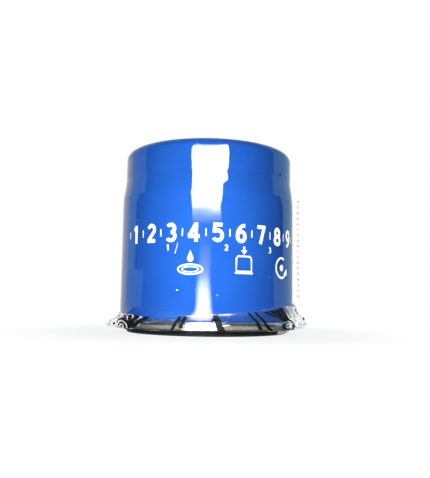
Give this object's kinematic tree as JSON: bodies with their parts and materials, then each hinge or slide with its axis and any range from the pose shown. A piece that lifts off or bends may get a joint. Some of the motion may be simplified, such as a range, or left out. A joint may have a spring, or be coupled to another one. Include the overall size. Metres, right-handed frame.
{
  "type": "spin-on oil filter",
  "caption": "Spin-on oil filter: painted drawn can with a rolled base seam, threaded base plate, rubber gasket, pleated paper element, bypass valve and a clear film shrunk over the base.",
  "frame": {"origin": "centre of the gasket's sealing face, the lowest plane of the filter", "axes": "+Z along the filter's axis towards the closed end of the can; +X to the right in the picture, through the film's right-hand ear; -Y towards the camera"},
  "size_m": [0.0793, 0.071, 0.071],
  "materials": {
    "can_paint": "gloss blue paint on drawn steel",
    "seam_steel": "bare rolled sheet steel",
    "gasket_rubber": "smooth black rubber",
    "plate_steel": "pressed plate steel",
    "valve_rubber": "moulded red-brown rubber",
    "spring_steel": "spring steel",
    "clear_film": "clear shrunk plastic film",
    "cap_steel": "tinned sheet steel",
    "adhesive": "cured red adhesive",
    "filter_paper": "resin-treated filter paper"
  },
  "bodies": {
    "housing": {"can": "can_paint", "seaming_lid": "seam_steel", "base_gasket": "gasket_rubber", "base_plate": "plate_steel", "anti_drain_valve": "valve_rubber", "leaf_spring": "spring_steel", "seal_film": "clear_film", "film_tear_strip": "clear_film"},
    "element": {"lower_end_cap": "cap_steel", "upper_end_cap": "cap_steel", "lower_potting": "adhesive", "upper_potting": "adhesive", "filter_media": "filter_paper", "media_seam_clip": "cap_steel", "centre_tube": "cap_steel", "bypass_cage": "cap_steel", "bypass_port": "cap_steel", "bypass_spring": "spring_steel"},
    "bypass_valve": {"bypass_disc": "plate_steel", "bypass_seal": "gasket_rubber"}
  },
  "joints": [
    {"name": "element_float", "type": "slide", "parent": "housing", "child": "element", "axis": [0, 0, 1], "range_m": [0, 0.001], "stiffness_N_per_m": 20000, "deforming": ["leaf_spring"]},
    {"name": "bypass_lift", "type": "slide", "parent": "element", "child": "bypass_valve", "axis": [0, 0, -1], "range_m": [0, 0.0035], "stiffness_N_per_m": 1500, "deforming": ["bypass_spring"]}
  ]
}
